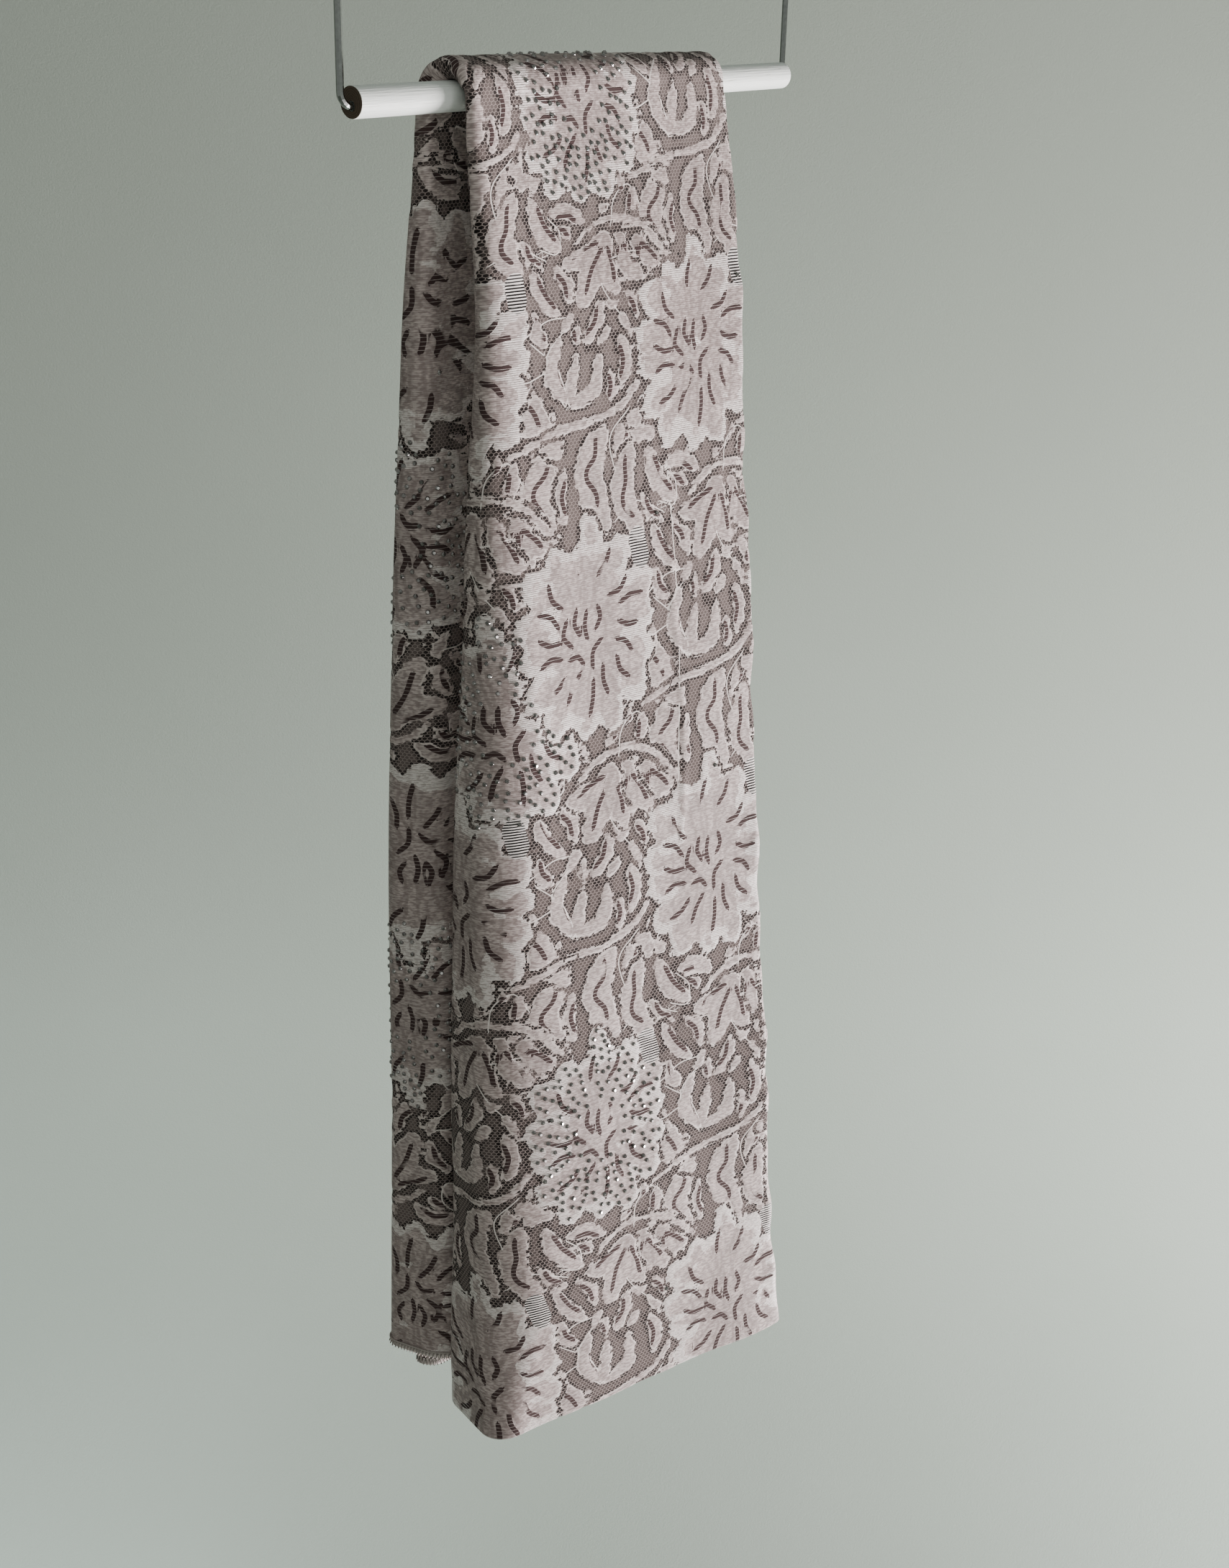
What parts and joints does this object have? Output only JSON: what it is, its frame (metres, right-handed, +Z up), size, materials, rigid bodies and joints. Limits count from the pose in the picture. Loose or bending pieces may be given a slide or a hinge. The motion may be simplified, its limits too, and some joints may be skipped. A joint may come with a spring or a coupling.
{
  "type": "hijab on its hanger rod",
  "caption": "Long lace shawl hijab folded lengthwise, hung over a slim round rod in a bent wire frame with a hook.",
  "frame": {"origin": "top of the inside of the hook, where the hanger hangs", "axes": "+X along the rod, toward its higher end; +Y from the long front hang to the shorter back hang; +Z up"},
  "size_m": [0.2515, 0.1118, 0.6575],
  "materials": {
    "painted_wood": "brushed white paint, bare end grain",
    "bright_wire": "plated, slightly dull",
    "mauve_lace": "satin-stitched net with small stones"
  },
  "bodies": {
    "root": {"rod": "painted_wood", "wire_frame": "bright_wire", "hook": "bright_wire", "front_hang": "mauve_lace", "over_rod": "mauve_lace", "back_hang": "mauve_lace"}
  },
  "joints": []
}
